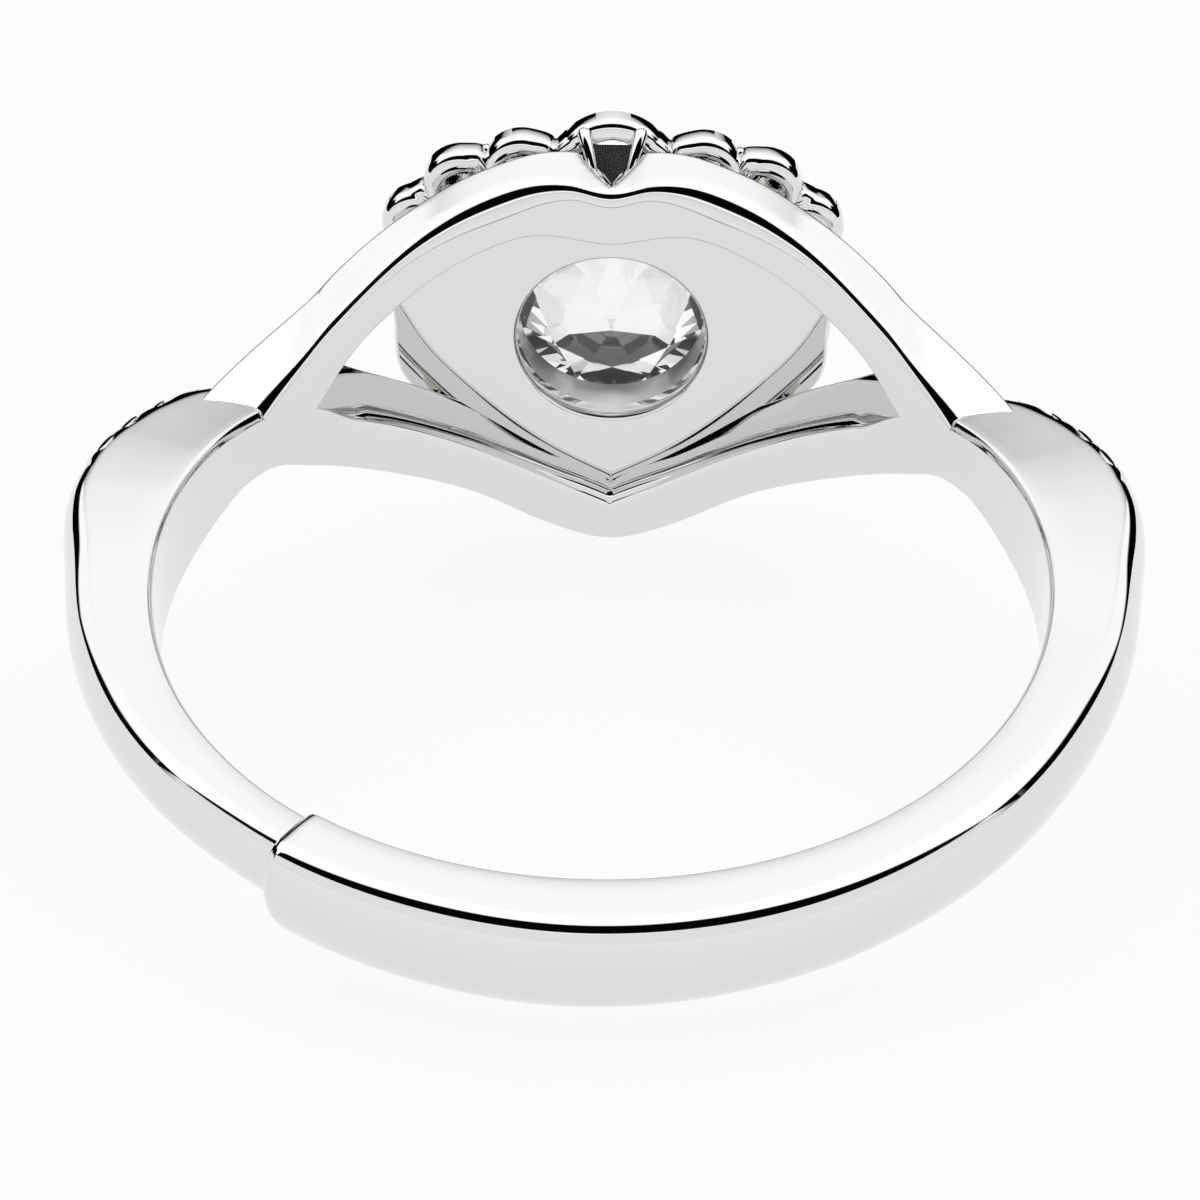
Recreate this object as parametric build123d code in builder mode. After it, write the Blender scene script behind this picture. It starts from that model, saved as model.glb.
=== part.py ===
from build123d import *
from collections import namedtuple
from math import atan2, cos, degrees, radians, sin
import os

os.makedirs("parts", exist_ok=True)

# Halo engagement ring, in millimetres.
# It is drawn with the finger along Z and the head towards +Y, and laid on its side at the end.

# Band
finger_radius = 8.5
band_thickness = 1.57
band_width = 1.94
crown_height = 0.42          # how far the outer face bulges past its two edges
edge_radius = 0.16           # rounding between a side face and the outer face
root_depth = 0.4             # how far each section starts inside the bore, before the bore is cut

# Open sizing joint: a tongue on the left end runs in a sleeve on the right end
joint_angle = 213.0          # from the head, by the right side, to the mouth of the sleeve
tongue_length = 2.4
tongue_thickness = 1.08
tongue_width = 1.58
sliding_clearance = 0.04
sleeve_rounding = 0.3
rounding_steps = (0.5, 0.87, 1.0)
mouth_lead = 6.0             # degrees of the band before the mouth, over which it narrows to the tongue

# Branches that part from the shoulders and carry the heart
branch_depth = 1.3           # from the bore to the outside
branch_end_angle = 63.4      # from the head, where the branches run into the shoulders
head_half_width = finger_radius * sin(radians(branch_end_angle))
head_rise = 3.91             # highest point of the upper branch, from the middle of the finger
head_drop = 5.43             # lowest point of the lower branch
window_half_width = 0.803 * head_half_width
window_rise = 2.72
window_drop = 4.2

# Heart plate behind the window, its round hole, and the gallery that stands on it
plate_gap = 0.6              # from the bore's top to the plate
plate_thickness = 0.45
light_hole_radius = 2.06
light_hole_chamfer = 0.13
centre_height = -0.38        # of the centre stone, along the finger
gallery_height = 0.8
gallery_wall = 0.5
gallery_opening = 0.62
opening_margin = 0.14
cleft_notch_width = 1.5
cleft_notch_depth = 0.9
cleft_notch_lift = 0.15      # of the notch's tip over the upper branch's edge
cleft_notch_lean = 24.0      # degrees, of the notch away from the head's direction

# Halo
halo_half_width = 4.45
halo_rise = 3.15
halo_drop = 4.5
halo_thickness = 0.55
seat_wall = 0.21             # metal round each halo stone
cleft_collar_radius = 1.6
cleft_collar_rise = 2.54
bead_radius = 0.19
bead_height = 0.2            # over the halo's front
bead_spread = 0.42           # of the two beads between neighbours, from the line of stones

# Stones
centre_stone_radius = 2.5
centre_pavilion_depth = 1.04
centre_girdle = 0.12
centre_crown_height = 0.78
centre_table_share = 0.56
culet_recess = 0.4           # from the plate's finger side to the culet
halo_stone_radius = 0.62
cleft_stone_radius = 0.8
shoulder_stone_radius = 0.38
small_pavilion_share = 0.74  # depth of a small stone's pavilion, of its radius
small_crown_share = 0.3
small_girdle_share = 0.07
small_table_share = 0.55
stone_clearance = 0.02
facet_count = 8              # main facets of the crown, and of the pavilion
star_angle_share = 0.62      # of the crown's angle
upper_half_share = 1.17      # of the crown's angle
lower_half_share = 1.035     # of the pavilion's angle
room_bulge = 0.06            # of a stone's radius: how far its facets' edges pass a cone

# Centre setting
tube_wall = 0.3
tube_clearance = 0.03        # from the light hole to the inside of the light tube
claw_radius = 0.25
claw_angle = 39.0            # of each claw from the head's width, seen along the head
claw_offset = 0.06           # of a claw's middle past the centre stone's girdle
claw_overlap = 0.24          # of a claw over the crown

# Row of stones on each shoulder
shoulder_stone_count = 4
shoulder_stone_first = 57.6
shoulder_stone_pitch = 0.86

# Sections of the shank: the angle is from the head, and the rest are shares of the band's sizes
ShankSection = namedtuple("ShankSection", "angle thickness width")
right_sections = [
    ShankSection(57.0, 1.15, 0.62),
    ShankSection(59.0, 1.38, 0.74),
    ShankSection(63.0, 1.54, 0.92),
    ShankSection(70.0, 1.57, 1.07),
    ShankSection(80.0, 1.41, 1.12),
    ShankSection(90.0, 1.20, 1.10),
    ShankSection(102.0, 1.04, 1.02),
    ShankSection(118.0, 0.91, 0.98),
    ShankSection(140.0, 0.90, 0.98),
    ShankSection(160.0, 0.96, 1.00),
    ShankSection(180.0, 1.00, 1.03),
    ShankSection(198.0, 0.95, 1.05),
    ShankSection(joint_angle, 0.93, 1.05),
]
left_sections = right_sections[:5] + [
    ShankSection(90.0, 1.18, 1.08),
    ShankSection(102.0, 1.02, 0.96),
    ShankSection(115.0, 0.89, 0.88),
    ShankSection(128.0, 0.77, 0.85),
]

# Edges of the two branches and of the window, seen along the head: shares of their named reach
EdgePoint = namedtuple("EdgePoint", "across along")
upper_branch_edge = [
    EdgePoint(1.00, 0.115), EdgePoint(0.91, 0.140), EdgePoint(0.81, 0.330), EdgePoint(0.60, 0.655),
    EdgePoint(0.38, 0.862), EdgePoint(0.15, 0.998), EdgePoint(0.00, 0.936),
]
lower_branch_edge = [
    EdgePoint(1.00, -0.130), EdgePoint(0.91, -0.155), EdgePoint(0.83, -0.250), EdgePoint(0.63, -0.464),
    EdgePoint(0.41, -0.674), EdgePoint(0.18, -0.910), EdgePoint(0.00, -1.000),
]
window_upper_edge = [
    EdgePoint(1.00, 0.000), EdgePoint(0.88, 0.320), EdgePoint(0.75, 0.560), EdgePoint(0.55, 0.820),
    EdgePoint(0.28, 1.000), EdgePoint(0.00, 0.897),
]
window_lower_edge = [
    EdgePoint(1.00, 0.000), EdgePoint(0.77, -0.255), EdgePoint(0.50, -0.543), EdgePoint(0.22, -0.824),
    EdgePoint(0.00, -1.000),
]
plate_edge = [
    EdgePoint(0.00, 0.74), EdgePoint(0.45, 0.84), EdgePoint(0.82, 0.66), EdgePoint(1.04, 0.34),
    EdgePoint(1.06, 0.00), EdgePoint(1.02, -0.33), EdgePoint(0.70, -0.60), EdgePoint(0.00, -1.04),
]

# Stones of the halo, down one side from the cleft to the tip, as shares of the halo's reach
HaloSeat = namedtuple("HaloSeat", "across along")
cleft_seat = HaloSeat(0.0, 1.0)
side_seats = [
    HaloSeat(0.438, 0.952), HaloSeat(0.730, 0.825), HaloSeat(0.944, 0.508), HaloSeat(1.000, 0.079),
    HaloSeat(0.910, -0.233), HaloSeat(0.697, -0.444), HaloSeat(0.472, -0.644), HaloSeat(0.243, -0.833),
]
tip_seat = HaloSeat(0.0, -1.0)

# Places along the head, from the finger outwards
plate_back = finger_radius + plate_gap
plate_front = plate_back + plate_thickness
halo_back = plate_front + gallery_height
halo_front = halo_back + halo_thickness
culet_place = plate_back + culet_recess
centre_girdle_place = culet_place + centre_pavilion_depth
bore_length = 4 * (head_rise + head_drop)


def head_plane(place):
    """The plane across the head at a distance from the finger's axis: X across, Y along the finger."""
    return Plane(origin=(0, place, 0), x_dir=(-1, 0, 0), z_dir=(0, 1, 0))


def head_point(across, along):
    """A point in a head plane, whose X axis runs to the left."""
    return (-across, along)


def scaled(points, half_width, rise, drop):
    """Turn shares into millimetres, with rises above the finger's middle and drops below it."""
    return [(p.across * half_width, p.along * (rise if p.along > 0 else drop)) for p in points]


def whole_edge(points):
    """Mirror a right half, given from the side to the middle, into one line from side to side."""
    return [head_point(x, z) for x, z in points] + [head_point(-x, z) for x, z in reversed(points[:-1])]


def shank_plane(angle):
    """The plane through the finger's axis at an angle from the head: X outwards, Y along the finger."""
    turn = radians(angle)
    return Plane(origin=(0, 0, 0), x_dir=(sin(turn), cos(turn), 0), z_dir=(cos(turn), -sin(turn), 0))


def shank_sketch(angle, thickness, width):
    """One section of the shank: flat side faces, rounded edges and a crowned outer face."""
    half = width / 2
    inner = finger_radius - root_depth
    crown = finger_radius + thickness
    edge = crown - crown_height
    corner = edge - edge_radius
    with BuildSketch(shank_plane(angle)) as section:
        with BuildLine():
            Line((inner, -half), (corner, -half))
            ThreePointArc(
                (corner, -half),
                (corner + edge_radius * sin(radians(45)), -half + edge_radius * (1 - cos(radians(45)))),
                (edge, -half + edge_radius),
            )
            ThreePointArc((edge, -half + edge_radius), (crown, 0), (edge, half - edge_radius))
            ThreePointArc(
                (edge, half - edge_radius),
                (corner + edge_radius * sin(radians(45)), half - edge_radius * (1 - cos(radians(45)))),
                (corner, half),
            )
            Polyline((corner, half), (inner, half), (inner, -half))
        make_face()
    return section.sketch


def facet_plane(radius, height, azimuth, angle):
    """The plane of a facet through a point, tilted from the girdle's plane, facing out of the stone."""
    turn = radians(azimuth)
    tilt = radians(abs(angle))
    up = 1 if angle > 0 else -1
    return Plane(
        origin=(radius * cos(turn), radius * sin(turn), height),
        z_dir=(sin(tilt) * cos(turn), sin(tilt) * sin(turn), up * cos(tilt)),
    )


def cut_stone(radius, pavilion, girdle, crown, table_share, brilliant):
    """A round stone with its girdle's lower edge at Z=0, its culet down and its table up."""
    table_radius = radius * table_share
    step = 360 / facet_count
    crown_angle = degrees(atan2(crown, radius - table_radius))
    pavilion_angle = degrees(atan2(pavilion, radius))
    facets = []
    for azimuth in [step * number for number in range(facet_count)]:
        facets.append(facet_plane(radius, girdle, azimuth, crown_angle))
        facets.append(facet_plane(radius, 0, azimuth, -pavilion_angle))
        if brilliant:
            star_radius = table_radius * cos(radians(step / 2))
            star_angle = crown_angle * star_angle_share
            facets.append(facet_plane(star_radius, girdle + crown, azimuth + step / 2, star_angle))
            for side in (-step / 4, step / 4):
                facets.append(facet_plane(radius, girdle, azimuth + side, crown_angle * upper_half_share))
                facets.append(facet_plane(radius, 0, azimuth + side, -pavilion_angle * lower_half_share))
    with BuildPart() as stone:
        with BuildSketch(Plane.XY.offset(-pavilion)):
            Circle(radius)
        extrude(amount=pavilion + girdle + crown)
        for facet in facets:
            split(bisect_by=facet, keep=Keep.BOTTOM)
    return stone.part


def stone_room(radius, pavilion, girdle, crown, table_share, tall):
    """The room a stone takes with its clearance, and a straight way out above it if tall."""
    grown = radius + stone_clearance
    bulge = radius * room_bulge
    top = girdle + crown + stone_clearance
    with BuildPart() as room:
        with BuildSketch(Plane.XZ):
            with BuildLine():
                if tall:
                    way_out = [(grown, top)]
                else:
                    middle = radius * (1 + table_share) / 2 + bulge
                    way_out = [
                        (grown, girdle + bulge),
                        (middle, girdle + crown / 2),
                        (radius * table_share + stone_clearance, top),
                    ]
                Polyline(
                    (0, -pavilion - 2 * stone_clearance),
                    (radius / 2 + bulge, -pavilion / 2),
                    (grown, -bulge),
                    *way_out,
                    (0, top),
                    close=True,
                )
            make_face()
        revolve(axis=Axis.Z)
    return room.part


def small_shape(radius):
    """The depths of a small stone, from its radius."""
    return (
        radius,
        radius * small_pavilion_share,
        radius * small_girdle_share,
        radius * small_crown_share,
        small_table_share,
    )


def seat_place(seat):
    """The place of a halo seat, across and along, in millimetres."""
    return scaled([seat], halo_half_width, halo_rise, halo_drop)[0]


def halo_stone_place(seat):
    """Where a halo stone's girdle sits: a frame with Z outwards."""
    across, along = seat_place(seat)
    return Plane(origin=(across, halo_front, along), x_dir=(-1, 0, 0), z_dir=(0, 1, 0))


def shank_crown_radius(angle):
    """The radius of the shoulder's outer face at an angle, between the sections beside it."""
    for near, far in zip(right_sections, right_sections[1:]):
        if near.angle <= angle <= far.angle:
            share = (angle - near.angle) / (far.angle - near.angle)
            return finger_radius + band_thickness * (near.thickness + share * (far.thickness - near.thickness))
    return finger_radius + band_thickness


def shoulder_stone_plane(side, number):
    """Where a shoulder stone's girdle sits, with Z outwards: side is 1 for the right, -1 for the left."""
    thickest = band_thickness * max(section.thickness for section in right_sections)
    step = degrees(shoulder_stone_pitch / (finger_radius + thickest))
    angle = shoulder_stone_first + step * (number + 0.5)
    turn = side * radians(angle)
    sunk = shoulder_stone_radius * small_girdle_share
    reach = shank_crown_radius(angle) - sunk
    return Plane(origin=(reach * sin(turn), reach * cos(turn), 0), x_dir=(0, 0, 1), z_dir=(sin(turn), cos(turn), 0))


# Shank: the right part, round the back to the mouth of the sleeve
right_profiles = [
    shank_sketch(s.angle, s.thickness * band_thickness, s.width * band_width) for s in right_sections
]
last = right_sections[-1]
for share in rounding_steps:
    ahead = degrees(share * sleeve_rounding / finger_radius)
    shrink = sleeve_rounding * (1 - (1 - share * share) ** 0.5)
    right_profiles.append(
        shank_sketch(
            last.angle + ahead,
            last.thickness * band_thickness - shrink,
            last.width * band_width - 2 * shrink,
        )
    )
with BuildPart() as right_shank:
    loft(right_profiles)

# Shank: the left part, which ends in the tongue
left_profiles = [
    shank_sketch(-s.angle, s.thickness * band_thickness, s.width * band_width) for s in left_sections
]
mouth = joint_angle - 360
tongue_end = mouth - degrees(tongue_length / finger_radius)
tongue_angles = [mouth + mouth_lead, mouth, (mouth + tongue_end) / 2, tongue_end]
left_profiles += [shank_sketch(angle, tongue_thickness, tongue_width) for angle in tongue_angles]
with BuildPart() as left_shank:
    loft(left_profiles)

# Channel in the sleeve, open to the finger, for the tongue
channel_end = tongue_end - degrees(sliding_clearance / finger_radius)
channel_profiles = [
    shank_sketch(angle, tongue_thickness + sliding_clearance, tongue_width + 2 * sliding_clearance)
    for angle in (mouth + mouth_lead, mouth, (mouth + channel_end) / 2, channel_end)
]
with BuildPart() as channel:
    loft(channel_profiles)

# Branches: a slice of a tube round the finger, cut to the outline of the head and pierced by the window
with BuildPart() as branches:
    with BuildSketch(head_plane(0)):
        with BuildLine():
            top = Spline(*whole_edge(scaled(upper_branch_edge, head_half_width, head_rise, head_drop)))
            bottom = Spline(*whole_edge(scaled(lower_branch_edge, head_half_width, head_rise, head_drop)))
            Line(top @ 0, bottom @ 0)
            Line(top @ 1, bottom @ 1)
        make_face()
    extrude(amount=finger_radius + 2 * branch_depth)
    with BuildSketch(head_plane(0)):
        with BuildLine():
            arch = Spline(*whole_edge(scaled(window_upper_edge, window_half_width, window_rise, window_drop)))
            half = scaled(window_lower_edge, window_half_width, window_rise, window_drop)
            Spline(*[head_point(x, z) for x, z in half])
            Spline(*[head_point(-x, z) for x, z in half])
        make_face()
    extrude(amount=finger_radius + 2 * branch_depth, mode=Mode.SUBTRACT)
    with BuildSketch(Plane.XY.offset(-bore_length / 2)):
        Circle(finger_radius + branch_depth)
    extrude(amount=bore_length, mode=Mode.INTERSECT)

# Heart plate with the light hole
plate_half = scaled(plate_edge, halo_half_width, head_rise, halo_drop)
with BuildPart() as plate:
    with BuildSketch(head_plane(plate_back)):
        with BuildLine():
            Spline(*[head_point(x, z) for x, z in plate_half])
            Spline(*[head_point(-x, z) for x, z in plate_half])
        make_face()
    extrude(amount=plate_thickness)
    with BuildSketch(head_plane(plate_back)):
        with Locations(head_point(0, centre_height)):
            Circle(light_hole_radius)
    extrude(amount=plate_thickness, mode=Mode.SUBTRACT)
    chamfer(plate.faces().sort_by(Axis.Y)[0].edges().filter_by(GeomType.CIRCLE), light_hole_chamfer)

# Gallery: a wall on the line of the halo's stones, open under each stone
ring_of_seats = (
    [cleft_seat]
    + side_seats
    + [tip_seat]
    + [HaloSeat(-s.across, s.along) for s in reversed(side_seats)]
)
seat_points = [seat_place(seat) for seat in ring_of_seats]
with BuildPart() as gallery:
    with BuildSketch(head_plane(plate_front)):
        with BuildLine():
            Polyline(*[head_point(x, z) for x, z in seat_points], close=True)
        make_face()
        offset(amount=-gallery_wall, mode=Mode.SUBTRACT)
    extrude(amount=gallery_height)
    for x, z in seat_points:
        outward = degrees(atan2(z - centre_height, x))
        with BuildSketch(
            Plane(
                origin=(x, (plate_front + halo_back) / 2, z),
                x_dir=(-sin(radians(outward)), 0, cos(radians(outward))),
                z_dir=(cos(radians(outward)), 0, sin(radians(outward))),
            )
        ):
            Rectangle(gallery_opening, gallery_height - 2 * opening_margin)
        extrude(amount=2 * gallery_wall, both=True, mode=Mode.SUBTRACT)

# Beads that hold the halo's stones: a pair between neighbours, one on each side of their line
bead_points = []
for (x, z), (next_x, next_z) in zip(seat_points, seat_points[1:] + seat_points[:1]):
    run = ((next_x - x) ** 2 + (next_z - z) ** 2) ** 0.5
    for side in (-1, 1):
        spread = side * bead_spread / run
        bead_points.append(((x + next_x) / 2 - spread * (next_z - z), (z + next_z) / 2 + spread * (next_x - x)))

# Halo: a plate inside the stones with a round seat for each, and a wider collar at the cleft
with BuildPart() as halo:
    with BuildSketch(head_plane(halo_back)):
        with BuildLine():
            Polyline(*[head_point(x, z) for x, z in seat_points], close=True)
        make_face()
        with Locations(*[head_point(x, z) for x, z in seat_points]):
            Circle(halo_stone_radius + seat_wall)
        with Locations(head_point(0, cleft_collar_rise)):
            Circle(cleft_collar_radius)
        with Locations(head_point(0, centre_height)):
            Circle(light_hole_radius + tube_clearance, mode=Mode.SUBTRACT)
    extrude(amount=halo_thickness)
    with BuildSketch(head_plane(halo_back)):
        with Locations(*[head_point(x, z) for x, z in bead_points]):
            Circle(bead_radius)
    extrude(amount=halo_thickness + bead_height)

# Centre setting: a light tube from the plate to the halo, and claws that lean over the crown
tube_radius = light_hole_radius + tube_clearance
claw_tip = centre_girdle_place + centre_girdle + centre_crown_height / 2
claw_reach = centre_stone_radius + claw_offset


def claw_points(reach):
    """The middles of the four claws, at a distance from the centre stone's axis."""
    turns = [radians(turn) for turn in (claw_angle, 180 - claw_angle, 180 + claw_angle, -claw_angle)]
    return [(reach * cos(turn), reach * sin(turn)) for turn in turns]


with BuildPart() as setting:
    with BuildSketch(head_plane(plate_front)):
        Circle(tube_radius + tube_wall)
        Circle(tube_radius, mode=Mode.SUBTRACT)
    extrude(amount=gallery_height)
    with BuildSketch(head_plane(halo_front)):
        with Locations(*claw_points(claw_reach)):
            Circle(claw_radius)
    extrude(amount=claw_tip - halo_front)
    with Locations(head_plane(claw_tip)):
        with Locations(*claw_points(claw_reach - claw_overlap)):
            Sphere(claw_radius)

# Room for the stones, and the stones that repeat
centre_plane = Plane(origin=(0, centre_girdle_place, centre_height), x_dir=(-1, 0, 0), z_dir=(0, 1, 0))
centre_shape = (
    centre_stone_radius,
    centre_pavilion_depth,
    centre_girdle,
    centre_crown_height,
    centre_table_share,
)
halo_cut = cut_stone(*small_shape(halo_stone_radius), False)
cleft_cut = cut_stone(*small_shape(cleft_stone_radius), False)
shoulder_cut = cut_stone(*small_shape(shoulder_stone_radius), False)
halo_room = stone_room(*small_shape(halo_stone_radius), True)
cleft_room = stone_room(*small_shape(cleft_stone_radius), True)
shoulder_room = stone_room(*small_shape(shoulder_stone_radius), True)
shoulder_seats = [(side, number) for side in (-1, 1) for number in range(shoulder_stone_count)]
centre_recess = stone_room(*centre_shape, True).moved(centre_plane.location)
head_rooms = [stone_room(*centre_shape, False).moved(centre_plane.location)]
for seat in ring_of_seats:
    room = cleft_room if seat == cleft_seat else halo_room
    head_rooms.append(room.moved(halo_stone_place(seat).location))
shoulder_rooms = [
    shoulder_room.moved(shoulder_stone_plane(side, number).location) for side, number in shoulder_seats
]

# Notch in the outside of the upper branch, at the heart's cleft
notch_tip = head_rise * upper_branch_edge[-1].along + cleft_notch_lift
cleft_wedge_plane = Plane(
    origin=(0, finger_radius + branch_depth / 3, notch_tip),
    x_dir=(1, 0, 0),
    z_dir=(0, cos(radians(cleft_notch_lean)), -sin(radians(cleft_notch_lean))),
)

# The metal of the head, with the rooms of its stones
with BuildPart() as head_metal:
    add(plate.part)
    add(gallery.part)
    add(halo.part)
    add(centre_recess, mode=Mode.SUBTRACT)
    add(setting.part.moved(Location((0, 0, centre_height))))
    add(head_rooms, mode=Mode.SUBTRACT)

# The whole metal as one solid
with BuildPart() as ring_metal:
    add(right_shank.part)
    add(channel.part, mode=Mode.SUBTRACT)
    add(left_shank.part)
    add(shoulder_rooms, mode=Mode.SUBTRACT)
    add(branches.part)
    add(head_metal.part)
    with BuildSketch(cleft_wedge_plane):
        with BuildLine():
            Polyline(
                (0, 0),
                (cleft_notch_width / 2, cleft_notch_depth),
                (-cleft_notch_width / 2, cleft_notch_depth),
                close=True,
            )
        make_face()
    extrude(amount=branch_depth + gallery_height / 2, mode=Mode.SUBTRACT)
    with BuildSketch(Plane.XY.offset(-bore_length / 2)):
        Circle(finger_radius)
    extrude(amount=bore_length, mode=Mode.SUBTRACT)

with BuildPart() as centre_stone:
    add(cut_stone(*centre_shape, True).moved(centre_plane.location))

# Laid on its side: the tip of the lower branch and the back of the band touch the surface
tip_reach = finger_radius + branch_depth
rest_tilt = degrees(atan2(head_drop - band_width / 2, tip_reach + finger_radius + band_thickness))
rest_turn = Location((0, 0, 0), (rest_tilt, 0, 0))
resting_box = ring_metal.part.moved(rest_turn).bounding_box()
tip_stone = halo_cut.moved(rest_turn * halo_stone_place(tip_seat).location)
stone_fronts = [stone.bounding_box().max.Y for stone in (centre_stone.part.moved(rest_turn), tip_stone)]
front = max(resting_box.max.Y, *stone_fronts)
lie_down = Location(
    (-(resting_box.min.X + resting_box.max.X) / 2, -(resting_box.min.Y + front) / 2, -resting_box.min.Z)
) * rest_turn

ring_metal.part = ring_metal.part.moved(lie_down)
ring_metal.part.label = "ring_metal"
export_step(ring_metal.part, "parts/ring_metal.step")

centre_stone.part = centre_stone.part.moved(lie_down)
centre_stone.part.label = "centre_stone"
export_step(centre_stone.part, "parts/centre_stone.step")

for number, seat in enumerate(ring_of_seats, start=1):
    cut = cleft_cut if seat == cleft_seat else halo_cut
    with BuildPart() as halo_stone:
        add(cut.moved(lie_down * halo_stone_place(seat).location))
    halo_stone.part.label = f"halo_stone_{number:02d}"
    export_step(halo_stone.part, f"parts/{halo_stone.part.label}.step")

for side, number in shoulder_seats:
    with BuildPart() as shoulder_stone:
        add(shoulder_cut.moved(lie_down * shoulder_stone_plane(side, number).location))
    side_name = "right" if side > 0 else "left"
    shoulder_stone.part.label = f"shoulder_stone_{side_name}_{number + 1}"
    export_step(shoulder_stone.part, f"parts/{shoulder_stone.part.label}.step")
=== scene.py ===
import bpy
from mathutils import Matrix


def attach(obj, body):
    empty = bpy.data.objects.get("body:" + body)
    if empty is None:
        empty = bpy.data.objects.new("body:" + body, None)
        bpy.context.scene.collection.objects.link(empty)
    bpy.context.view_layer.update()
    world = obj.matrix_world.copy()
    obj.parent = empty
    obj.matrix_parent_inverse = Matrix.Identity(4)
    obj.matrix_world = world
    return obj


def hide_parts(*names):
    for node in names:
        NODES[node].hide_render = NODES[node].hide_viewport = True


bl_info = {
    "name": "Halo Ring",
    "version": (1, 0, 0),
    "blender": (4, 5, 0),
    "location": "View3D > Sidebar > Halo Ring",
    "description": "Dresses the halo ring in polished metal and cut stones, on a pale studio floor",
    "category": "Object",
}

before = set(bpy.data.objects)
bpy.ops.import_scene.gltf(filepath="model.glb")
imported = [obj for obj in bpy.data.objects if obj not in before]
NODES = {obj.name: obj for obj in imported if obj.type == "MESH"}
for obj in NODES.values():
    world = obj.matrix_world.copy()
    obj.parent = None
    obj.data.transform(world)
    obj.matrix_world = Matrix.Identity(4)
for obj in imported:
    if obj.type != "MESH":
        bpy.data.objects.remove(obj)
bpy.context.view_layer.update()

from bisect import bisect_left
from math import atan2, cos, degrees, pi, radians, sin, sqrt

import bmesh
import bpy
from mathutils import Matrix, Vector

MM = 0.001
METAL_NODE = "ring_metal"
STONE_NODES = sorted(name for name in NODES if name != METAL_NODE)

# The band's sections: the angle is from the head in degrees, the rest are shares of the band's sizes.
# Each row is angle, thickness, width, crown.
SHOULDER_SECTIONS = [
    (56.2, 1.13, 0.74, 1.30),
    (57.6, 1.28, 0.78, 1.30),
    (60.0, 1.40, 0.84, 1.30),
    (63.0, 1.49, 0.91, 1.25),
    (66.5, 1.54, 0.98, 1.15),
    (70.0, 1.55, 1.04, 1.00),
    (75.0, 1.54, 1.09, 0.95),
    (80.0, 1.48, 1.11, 1.00),
]
RIGHT_SECTIONS = SHOULDER_SECTIONS + [
    (90.0, 1.21, 1.10, 1.12),
    (102.0, 1.05, 1.02, 1.08),
    (118.0, 0.91, 0.98, 1.00),
    (140.0, 0.90, 0.98, 1.00),
    (160.0, 0.96, 1.00, 1.00),
    (180.0, 1.00, 1.03, 1.00),
    (198.0, 0.95, 1.05, 1.00),
]
LEFT_SECTIONS = SHOULDER_SECTIONS + [
    (90.0, 1.19, 1.08, 1.12),
    (102.0, 1.03, 0.96, 1.05),
    (115.0, 0.89, 0.88, 0.95),
    (128.0, 0.77, 0.85, 0.85),
]

# Edges of the branches, of the window and of the back plate, seen along the head.
# Each row is the share of the half width and the share of the rise or the drop.
UPPER_BRANCH_EDGE = [
    (1.00, 0.150), (0.92, 0.272), (0.84, 0.413), (0.76, 0.548), (0.65, 0.692), (0.54, 0.810),
    (0.43, 0.910), (0.32, 0.980), (0.21, 1.030), (0.11, 1.030), (0.00, 0.975),
]
LOWER_BRANCH_EDGE = [
    (1.00, -0.130), (0.91, -0.155), (0.83, -0.250), (0.63, -0.464), (0.41, -0.674), (0.18, -0.910),
    (0.00, -1.000),
]
WINDOW_UPPER_EDGE = [(1.00, 0.000), (0.88, 0.320), (0.75, 0.560), (0.55, 0.820), (0.28, 1.000), (0.00, 0.897)]
WINDOW_LOWER_EDGE = [(1.00, 0.000), (0.77, -0.255), (0.50, -0.543), (0.22, -0.824), (0.00, -1.000)]
PLATE_EDGE = [
    (0.00, 0.74), (0.45, 0.84), (0.82, 0.66), (1.04, 0.34), (1.06, 0.00), (1.02, -0.33), (0.70, -0.60),
    (0.00, -1.04),
]

# Stones of the halo down one side, between the cleft and the tip, as shares of the halo's reach
SIDE_SEATS = [
    (0.438, 0.952), (0.730, 0.825), (0.944, 0.508), (1.000, 0.079),
    (0.910, -0.233), (0.697, -0.444), (0.472, -0.644), (0.243, -0.833),
]

# The halo's front, from the lip round its edge to the dish about the centre stone. A row of the lip is
# millimetres inwards and past the front; a row of the dish is the share of the way out and millimetres.
HALO_LIP = [(0.0, 0.07), (0.012, 0.092), (0.04, 0.1), (0.1, 0.1), (0.15, 0.0)]
HALO_DISH = [(0.85, 0.0), (0.7, -0.06), (0.55, -0.11), (0.4, -0.12), (0.25, -0.09), (0.1, -0.03)]

# Light of the studio's tent over the arch from the head's side (0 degrees) by overhead to the near side
TENT_LIGHT = [
    (-180, 0.72), (-12, 0.72), (0, 0.94), (50, 0.94), (60, 1.0), (90, 1.0), (92.5, 0.0), (123, 0.0),
    (125.5, 1.0), (129.5, 1.0), (132.5, 0.6), (146, 0.72),
]


def length(name, value, note, least=0.0):
    """A size property, with its default and its least value given in millimetres."""
    return bpy.props.FloatProperty(
        name=name,
        description=note,
        default=value * MM,
        min=least * MM,
        precision=5,
        subtype="DISTANCE",
        unit="LENGTH",
    )


def angle(name, value, note):
    """An angle property, with its default given in degrees."""
    return bpy.props.FloatProperty(
        name=name, description=note, default=radians(value), subtype="ANGLE", unit="ROTATION"
    )


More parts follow.
